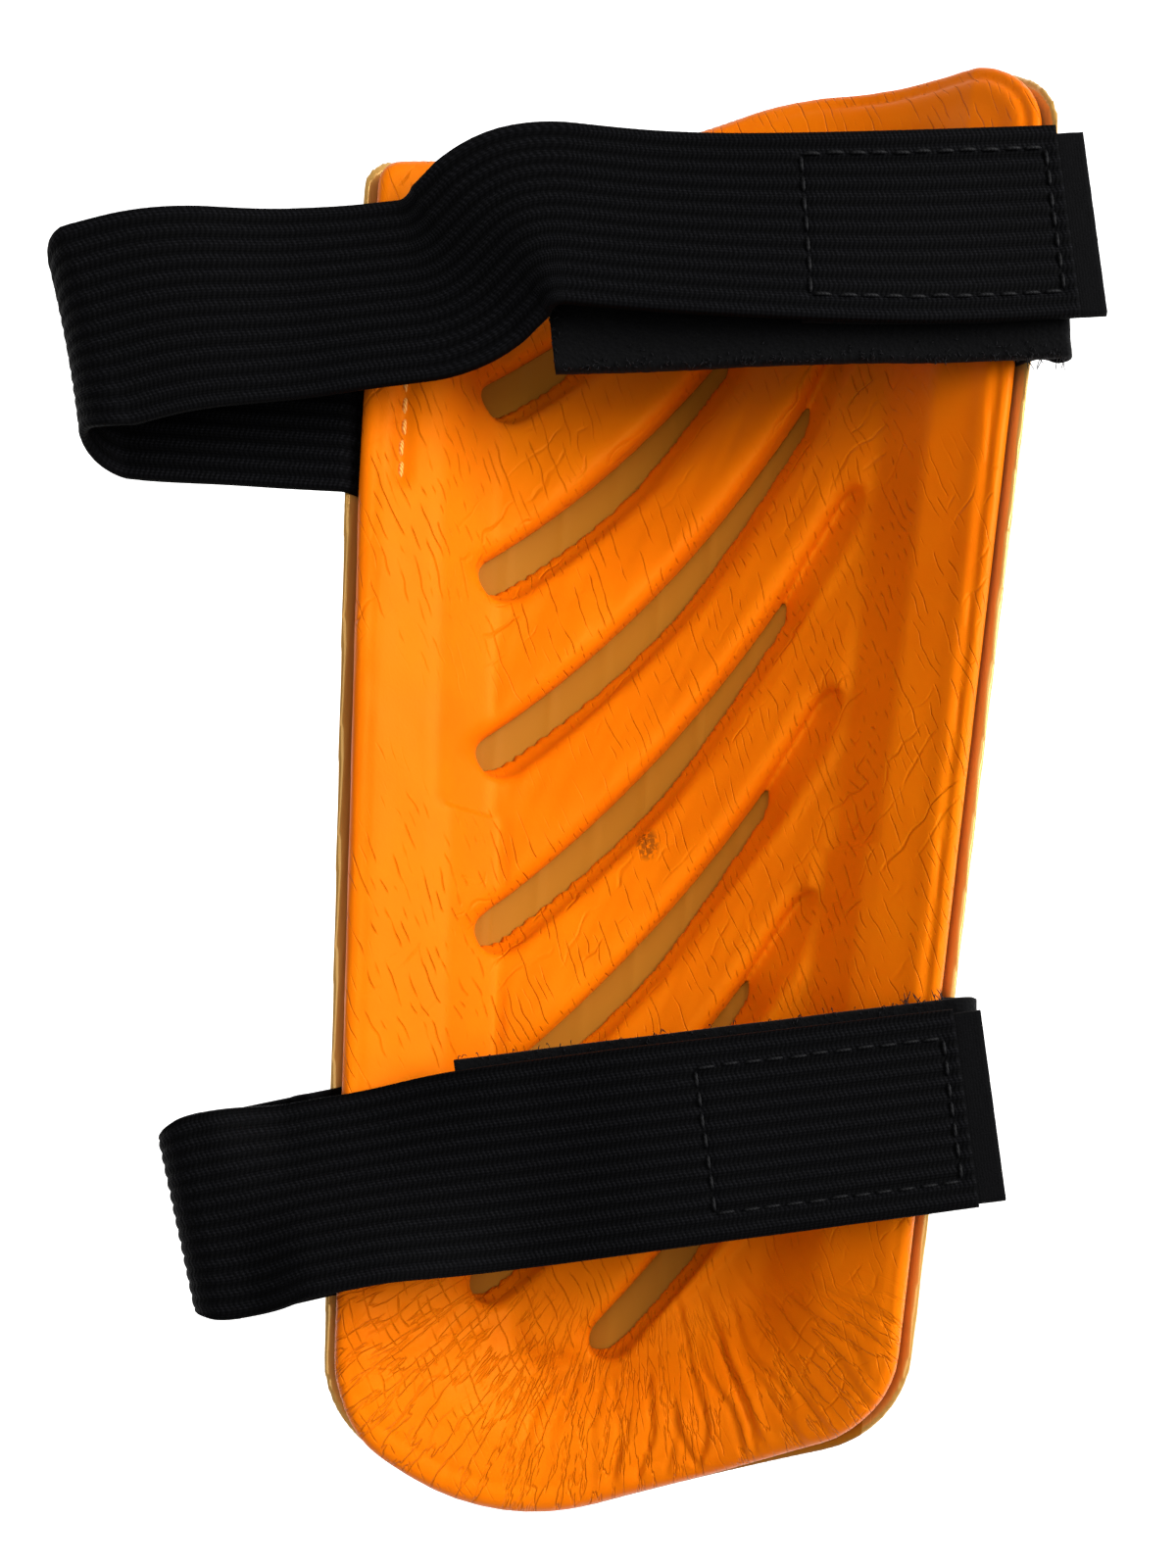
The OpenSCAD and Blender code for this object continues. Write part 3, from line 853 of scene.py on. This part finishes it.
def foam_material():
    m = Nodes("orange_foam")
    at = m.position()
    cloud = m.noise(at, 28.0, 4.0, 0.6)
    fine = m.noise(at, 900.0, 2.0, 0.6)
    pits = m.rises(m.noise(at, 2600.0, 1.0), 0.3, 0.55)
    creases = m.mix(1.0, pleats(m, at, 24, 760.0, 22.0, 0.38), pleats(m, at, -34, 330.0, 34.0, 0.50),
                    "MULTIPLY")
    creases = m.mix(1.0, creases, fan_lines(m, at), "MULTIPLY")
    normal = m.bump(creases, 0.8, 0.0003)
    normal = m.bump(fine, 0.15, 0.0001, normal)
    normal = m.bump(pits, 0.1, 0.00005, normal)
    colour = m.ramp(cloud, (0.3, FOAM_DARK), (0.7, FOAM_LIGHT))
    # Painted shade: the skin is darkened a little along the creases.
    colour = m.mix(m.times(m.less(1.0, m.rises(creases, 0, 1)), 0.12), colour, FOAM_CREASE_SHADE)
    colour = m.mix(scuff_mark(m, at), colour, FOAM_SCUFF)
    m.bsdf.inputs["Subsurface Radius"].default_value = (1.0, 0.35, 0.05)
    return m.finish(Base_Color=colour, Roughness=m.ramp(cloud, (0.3, 0.42), (0.7, 0.52)), Normal=normal,
                    Subsurface_Weight=0.08, Subsurface_Scale=0.0015, Specular_IOR_Level=0.45,
                    Specular_Tint=(1.0, 0.42, 0.04, 1))


def under_foam(m, at):
    """1 on the shell's inner face behind the slots, which is duller than the open face and rim; there the
    gold colour gives way to a darker orange, which is painted shade and painted orange light bounced from
    the foam.
    """
    x, y, _ = m.parts(at)
    rho = m.length(x, m.plus(y, PANEL_R * MM))
    middle = m.math("LESS_THAN", m.math("ABSOLUTE", x), 0.039)
    return m.times(m.math("LESS_THAN", rho, (BACK_R + SHELL_R) / 2 * MM), middle)


def shell_material():
    m = Nodes("gold_shell")
    at = m.position()
    cloud = m.noise(at, 16.0)
    stretched = m.add("ShaderNodeMapping", Vector=at, Scale=(900.0, 900.0, 40.0)).outputs[0]
    scratch = m.rises(m.noise(stretched, 1.0, 2.0, 0.6), 0.60, 0.70)
    dust = m.rises(m.noise(at, 700.0, 2.0, 0.6), 0.62, 0.72)
    wear = m.math("MAXIMUM", m.times(scratch, 0.5), m.times(dust, 0.3))
    covered = under_foam(m, at)
    open_face = m.less(1.0, covered)
    colour = m.mix(m.times(wear, 0.35), m.ramp(cloud, (0.3, GOLD_DARK), (0.7, GOLD_LIGHT)), GOLD_WORN)
    # Behind the slots the gold gives way to painted shade and painted orange bounce light.
    colour = m.mix(covered, colour, m.mix(cloud, SLOT_SHADE_AND_BOUNCE_DARK, SLOT_SHADE_AND_BOUNCE_LIGHT))
    rough = m.plus(m.plus(0.16, m.times(covered, 0.35)), m.times(wear, 0.3))
    return m.finish(Base_Color=colour, Roughness=rough, Normal=m.bump(scratch, 0.08, 0.00003),
                    Coat_Weight=m.times(open_face, 0.3), Coat_Roughness=0.08,
                    Coat_Tint=(1.0, 0.80, 0.45, 1), Metallic=m.times(open_face, 0.2),
                    Specular_Tint=(1.0, 0.75, 0.35, 1),
                    Specular_IOR_Level=m.plus(0.12, m.times(open_face, 0.5)))


def elastic_material():
    m = Nodes("ribbed_elastic")
    uv = m.strip_uv()
    s, w, _ = m.parts(uv)
    pick_pitch, yarn_pitch = 0.72, 0.42
    across = m.math("SINE", m.times(w, 2 * math.pi * RIBS / BAND_W))
    picks = m.math("SINE", m.plus(m.times(s, 2 * math.pi / pick_pitch), m.times(across, 1.6)))
    yarn = m.math("SINE", m.times(w, 2 * math.pi / yarn_pitch))
    weave = m.plus(m.times(picks, 0.5), m.times(yarn, 0.35))
    fuzz = m.noise(uv, 2.2, 4.0, 0.7)
    # Colour is lighter on the rib crests and darker in the grooves between them: painted highlight and
    # painted shade, over the yarn's own weave and fuzz tone.
    rib_crest_light = m.math("ABSOLUTE", m.math("SINE", m.times(m.plus(w, BAND_W / 2), math.pi * RIBS / BAND_W)))
    weave_tone_and_rib_shade = m.times(m.plus(m.times(weave, 0.25), fuzz), m.plus(0.35, m.times(rib_crest_light, 0.75)))
    lint = m.rises(m.noise(uv, 1.4, 6.0, 0.8), 0.73, 0.78)
    colour = m.mix(m.times(lint, 0.15), m.ramp(weave_tone_and_rib_shade, *ELASTIC_BLACKS), LINT)
    normal = m.bump(fuzz, 0.25, 0.0001, m.bump(weave, 0.5, 0.00012))
    return m.finish(Base_Color=colour, Roughness=0.7, Normal=normal, Sheen_Weight=0.006,
                    Sheen_Roughness=0.4, Specular_IOR_Level=0.04)


def tape_material(name, cell_scale, cell_random, relief, sheen):
    m = Nodes(name)
    uv = m.strip_uv()
    cells = m.add("ShaderNodeTexVoronoi", Vector=uv, Scale=cell_scale, Randomness=cell_random)
    fuzz = m.noise(uv, 3.0, 5.0, 0.75)
    height = m.plus(m.times(cells.outputs[0], -1.0), m.times(fuzz, 0.7))
    return m.finish(Base_Color=m.ramp(fuzz, *TAPE_BLACKS), Roughness=0.85,
                    Normal=m.bump(height, relief, 0.00025), Sheen_Weight=sheen, Sheen_Roughness=0.5,
                    Specular_IOR_Level=0.06)


def thread_material(name, dark, light):
    m = Nodes(name)
    twist = m.add("ShaderNodeTexWave", Vector=m.position(), Scale=900.0, Distortion=1.0,
                  bands_direction="DIAGONAL").outputs[1]
    return m.finish(Base_Color=m.ramp(twist, (0.2, dark), (0.8, light)), Roughness=0.6,
                    Normal=m.bump(twist, 0.5, 0.00006), Specular_IOR_Level=0.15)


def paint(obj, mats, name):
    """Gives a piece its material."""
    obj.data.materials.clear()
    obj.data.materials.append(mats[name])
    "loop_tape" if name == "loop_tape_fibre" else name
    return obj


def place(obj, mats, name, body, node):
    """A painted piece that rides on one body and stands in for one CAD node."""
    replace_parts(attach(paint(obj, mats, name), body), node)


# ---- building the guard

def build_moulding(name, node, field, depth, voxel, mats):
    """A moulded piece, meshed inside its node's outline and a range of depths."""
    outline = cad_outline(node)
    lo, hi = outline.min(0) - 2, outline.max(0) + 2
    low, high = (lo[0], depth[0], lo[1]), (hi[0], depth[1], hi[1])
    place(mesh_from_field(name + "_body", field(outline), low, high, voxel), mats, name, "guard", node)


def band_spaces():
    """Room behind the pad for the hidden roots: lowest and highest z, and the side."""
    for key in BANDS:
        for node, side in (("_band_root", -1), ("_tab_root", 1)):
            lo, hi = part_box(key + node)
            yield lo.z / MM, hi.z / MM, side


def soften(key, run):
    """Sags the outer leg on the left, lifts it over the tab and leans its upper edge back."""
    sag, rise, wave = BANDS[key]["sag"], BANDS[key]["rise"], 0.25
    lean, free = math.radians(BANDS[key]["lean"]), run.marks["fold_end"]

    def lift_at(s):
        u = s - free
        soft = wave * np.sin(u / 9.0) * step(4, 20, u) * step(90, 70, u)
        return sag * step(6, 30, u) * step(66, 44, u) + rise * step(50, 66, u) * step(150, 100, u) + soft

    def lean_at(s):
        u = s - free
        if key == "upper":
            return lean * step(6, 40, u) * (1 - 0.8 * step(80, 135, u))
        return lean * step(3, 14, u) * step(46, 22, u)
    run.reshape(lift_at, lean_at)


def build_band(key, mats):
    run = band_strip(key)
    soften(key, run)
    m = run.marks
    run.pinch((m["fold_start"] + m["fold_end"]) / 2, 5.0, 0.16)
    end, width = m["end"], BANDS[key]["width"]
    box = (end - HOOK_L + HOOK_OVER + 2, end - 2.2, BOX_HALF_W)
    height = elastic_height(box)
    inner, outer = key + "_inner", key + "_outer"
    seam_in, seam_out = m["fold_start"] - 2, m["fold_end"] + 2
    root, fold, leg = (
        paint(strip_mesh(key + name, run, s0, s1, width, height, s0 == 0, s1 == end, BAND_WANDER), mats,
              "elastic")
        for name, s0, s1 in (("_band_root_and_inner_leg", 0, seam_in), ("_band_fold", seam_in, seam_out),
                             ("_band_outer", seam_out, end)))
    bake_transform(root)
    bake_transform(fold)
    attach(leg, outer)
    for obj, node in ((root, "_band_root"), (fold, "_band_inner_leg"), (leg, "_band_outer_leg")):
        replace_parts(obj, key + node)
    build_hook(key, run, outer, mats)
    seam = tube_mesh(key + "_box_seam", box_stitches(run, box, BAND_T / 2 + 0.05), 0.30)
    place(seam, mats, "black_thread", outer, key + "_hook_stitches")


def build_hook(key, run, outer, mats):
    """The hook tape under the band's free end and a little past it."""
    p, t, w, n, s = run.arrays()
    end = s[-1]
    drop = -(BAND_T + HOOK_T) / 2
    patch = Strip(p[-1] + t[-1] * HOOK_OVER + n[-1] * drop, -t[-1], -w[-1], n[-1])
    for i in np.where(s > end - (HOOK_L - HOOK_OVER))[0][::-1]:
        patch._add(p[i] + n[i] * drop, -t[i], -w[i], n[i], HOOK_OVER + (end - s[i]))
    patch = resample(patch, 0.8)
    obj = strip_mesh(key + "_hook_tape", patch, 0, patch.s[-1], BANDS[key]["width"] - HOOK_NARROWER,
                     pile_height(HOOK_T, 0.08, 0.9, 31), cap_start=True, cap_end=True, wander=TAPE_WANDER)
    place(obj, mats, "hook_tape", outer, key + "_hook_patch")


def resample(strip, pitch):
    first, last = strip.s[0], strip.s[-1]
    at = np.linspace(first, last, max(2, int((last - first) / pitch)) + 1)
    out = Strip(strip.p[0], strip.t[0], strip.w[0], strip.n[0])
    out.p, out.t, out.w, out.n = (list(v) for v in strip.between(at))
    out.s = list(at)
    return out


def build_tab(key, mats):
    run = tab_strip(key)
    m = run.marks
    free = m["fold_end"]
    lean = math.radians(BANDS[key]["tab_lean"])
    run.reshape(lambda s: 0.5 * np.sin((s - free) / 13) * step(free + 20, free + 40, s),
                lambda s: lean * step(free + 12, free + 55, s))
    thick = pile_height(lambda s: BAND_T + (TAB_T - BAND_T) * step(m["rim"] - 1, free, s), 0.09, 0.8, 41)
    tab_body = key + "_tab"
    seam = free + 0.6
    root = strip_mesh(key + "_tab_fold", run, 0, seam, BAND_W, thick, cap_start=True, wander=TAPE_WANDER)
    tab = strip_mesh(key + "_tab_pile", run, seam, m["end"], BAND_W, thick, cap_end=True,
                     wander=TAPE_WANDER)
    for obj in (root, tab):
        paint(obj, mats, "loop_tape")
    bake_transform(root)
    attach(tab, tab_body)
    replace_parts(root, key + "_tab_root")
    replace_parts(tab, key + "_loop_tab")
    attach(paint(pile_fibres(key, run, m), mats, "loop_tape_fibre"), tab_body)


def pile_fibres(key, run, m):
    """Short loops that stand out of the pile along the tab's edges and free end."""
    edge = BAND_W / 2
    rng = np.random.RandomState(BANDS[key]["fibre_seed"])
    lines = []
    for _ in range(BANDS[key]["fibres"]):
        s = rng.uniform(m["fold_end"] + 1, m["end"] + 0.1)
        side = rng.choice([-1, 1])
        w = side * (edge - rng.exponential(0.8))
        if rng.rand() < 0.12:
            s, w = m["end"] - rng.exponential(0.5), rng.uniform(-edge, edge)
        a = rng.uniform(0, 2 * math.pi)
        span = rng.uniform(0.3, 0.9)
        k = np.linspace(0, 1, 5)
        arch = np.sin(k * math.pi)
        ds = math.cos(a) * span * k
        dw = math.sin(a) * span * k + side * rng.uniform(0, 0.6) * arch
        lift = TAB_T / 2 + rng.uniform(0.15, 0.55) * arch - 0.05
        lines.append(run.at(np.clip(s + ds, 0, m["end"]), w + dw, lift))
    lines += frayed_ends(run, m, BANDS[key]["frayed_side"])
    return tube_mesh(key + "_tab_fuzz", lines, FIBRE_R, sides=4)


def frayed_ends(run, m, side):
    """Loose black threads at the corner of the tab that shows beside the band."""
    count, reach = 16, 7
    rng = np.random.RandomState(23)
    lines = []
    for _ in range(count):
        k = np.linspace(0, 1, 7)
        s = m["fold_end"] + rng.uniform(0, reach) + rng.uniform(-1.5, 1.5) * k
        w = side * (BAND_W / 2 - 0.5 + rng.uniform(0.6, 2.6) * k)
        lift = rng.uniform(-0.4, 0.6) + rng.uniform(-0.8, 0.8) * np.sin(k * 2.5)
        lines.append(run.at(s, w, lift))
    return lines


def build_rail_seams(mats):
    """Long stitches through the rails, which hold the hidden roots of bands and tabs."""
    stitch, pitch, dip = 2.5, 3.3, 0.30
    foam_outline = cad_outline("foam_pad")
    for name, (x, lo, hi) in RAIL_SEAMS.items():
        rng = np.random.RandomState(len(name))
        lines = []
        z = lo + 0.3
        while z < hi - 1:
            k = np.linspace(0, 1, 6)
            zz = z + k * stitch
            sway = 0.25 * value_noise(np.array([z / 4]), np.array([3.0]), 8)[0]
            xx = np.full_like(k, x + sway + rng.normal(0, 0.08))
            y = pad_surface(foam_outline, xx, zz) + seam_pucker(xx, zz)
            lines.append(np.stack([xx, y - dip * np.sin(k * math.pi) + 0.12, zz], -1))
            z += pitch
        thread = "orange_thread" if "band" in name else "black_thread"
        place(tube_mesh(name + "_thread", lines, 0.36), mats, thread, "guard", name)


# Metres between the guard's back and the ground: clear of the bands in every pose.
GROUND_BEHIND = 0.26
# Name, place, size in metres and power in watts.
LIGHTS = (("key_light", (0.74, -0.52, 0.30), 0.65, 14.0),
          ("fill_light", (-0.1, -1.0, -0.1), 0.9, 4.9),
          ("back_light", (-0.5, 0.9, 0.6), 0.9, 5.0))


def build_stage():
    """White ground behind the shell, clear of the open bands, with soft light and the camera."""
    lo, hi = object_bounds()
    middle = (lo + hi) / 2
    table = build_ground(hi.y + GROUND_BEHIND)
    light_world()
    for name, at, size, power in LIGHTS:
        add_light(name, at, size, power, middle)
    build_camera(table)


def build_ground(y):
    """An upright white sheet, clear from behind."""
    half = 6000
    corners = [(a * half, y / MM, b * half) for a, b in ((-1, -1), (1, -1), (1, 1), (-1, 1))]
    table = make_mesh("table_top", corners, [(0, 1, 2, 3)])
    m = Nodes("white_table")
    paper = m.ramp(m.noise(m.position(), 12.0), (0.3, 0.90), (0.7, 0.93))
    m.finish(Base_Color=paper, Roughness=0.7, Emission_Color=paper, Emission_Strength=0.8)
    behind = m.add("ShaderNodeNewGeometry").outputs["Backfacing"]
    clear = m.add("ShaderNodeBsdfTransparent").outputs[0]
    pick = m.join("ShaderNodeMixShader", behind, m.bsdf.outputs[0], clear)
    m.put(m.tree.nodes["Material Output"].inputs[0], pick.outputs[0])
    table.data.materials.append(m.mat)
    return table


def light_world():
    """Even white light, which looks brighter to the camera than it is on the guard."""
    lit, looked_at = 0.22, 0.92
    bpy.context.scene.world = world = bpy.data.worlds.new("studio")
    world.use_nodes = True
    nodes, links = world.node_tree.nodes, world.node_tree.links
    sky = nodes["Background"].inputs
    sky[0].default_value = WHITE
    level = nodes.new("ShaderNodeMapRange")
    level.inputs["To Min"].default_value, level.inputs["To Max"].default_value = lit, looked_at
    links.new(level.inputs["Value"], nodes.new("ShaderNodeLightPath").outputs["Is Camera Ray"])
    links.new(sky[1], level.outputs["Result"])


def aim(obj, at, rotation):
    obj.location = at
    obj.rotation_mode = "QUATERNION"
    obj.rotation_quaternion = rotation


def add_light(name, at, size, power, middle):
    light = bpy.data.lights.new(name, "AREA")
    light.size, light.energy = size, power
    obj = add_object(name, light)
    aim(obj, at, (middle - Vector(at)).to_track_quat("-Z", "Y"))


def build_camera(table):
    """The photograph's view: level with the table, from below and to the right of the guard.

    The guard lies off the middle of the lens, so the lens is shifted and not turned."""
    turn, lean = math.radians(7.58), math.radians(3.93)
    offset = Vector((-0.0625, 0.3171, 0.0695))
    camera = bpy.data.cameras.new("camera")
    camera.lens, camera.sensor_width = 43.7, 36
    camera.clip_start, camera.clip_end = 0.01, 50
    obj = add_object("camera", camera)
    back = (Matrix.Rotation(lean, 3, "Y") @ Matrix.Rotation(turn, 3, "Z")).transposed()
    aim(obj, back @ -offset, (back @ Matrix.Rotation(math.radians(90), 3, "X")).to_quaternion())
    bpy.context.scene.camera = obj
    shift_lens(camera, obj, table, "shift_x", -0.288)
    shift_lens(camera, obj, table, "shift_y", 0.304)


def shift_lens(camera, obj, mark, path, amount):
    """Shifts the lens at the photograph's distance, and centres it when the camera is moved away."""
    near, far = 0.03, 0.06
    curve = camera.driver_add(path)
    curve.driver.type = "SUM"
    apart = curve.driver.variables.new()
    apart.type = "LOC_DIFF"
    apart.targets[0].id, apart.targets[1].id = obj, mark
    for modifier in list(curve.modifiers):
        curve.modifiers.remove(modifier)
    while len(curve.keyframe_points):
        curve.keyframe_points.remove(curve.keyframe_points[0])
    here = (obj.location - mark.location).length
    for off, value in ((-far, 0), (-near, amount), (near, amount), (far, 0)):
        curve.keyframe_points.insert(here + off, value).interpolation = "LINEAR"
    curve.extrapolation = "CONSTANT"


def build_guard():
    mats = {
        "shell": shell_material(),
        "foam": foam_material(),
        "elastic": elastic_material(),
        "hook_tape": tape_material("hook_tape", cell_scale=2.2, cell_random=0.35, relief=0.4, sheen=0.01),
        "loop_tape": tape_material("loop_pile", cell_scale=1.6, cell_random=0.95, relief=0.7, sheen=0.03),
        "loop_tape_fibre": thread_material("pile_fibre", *FIBRE_BLACKS),
        "black_thread": thread_material("black_thread", *THREAD_BLACKS),
        "orange_thread": thread_material("orange_thread", *THREAD_ORANGES),
    }
    build_moulding("shell", "shell", shell_field, (-31, 8), VOXEL_SHELL, mats)
    build_moulding("foam", "foam_pad", foam_field, (-30, 6), VOXEL_FOAM, mats)
    for key in BANDS:
        build_band(key, mats)
        build_tab(key, mats)
    build_rail_seams(mats)


build_guard()
build_stage()
bpy.context.scene.view_settings.view_transform = "Standard"
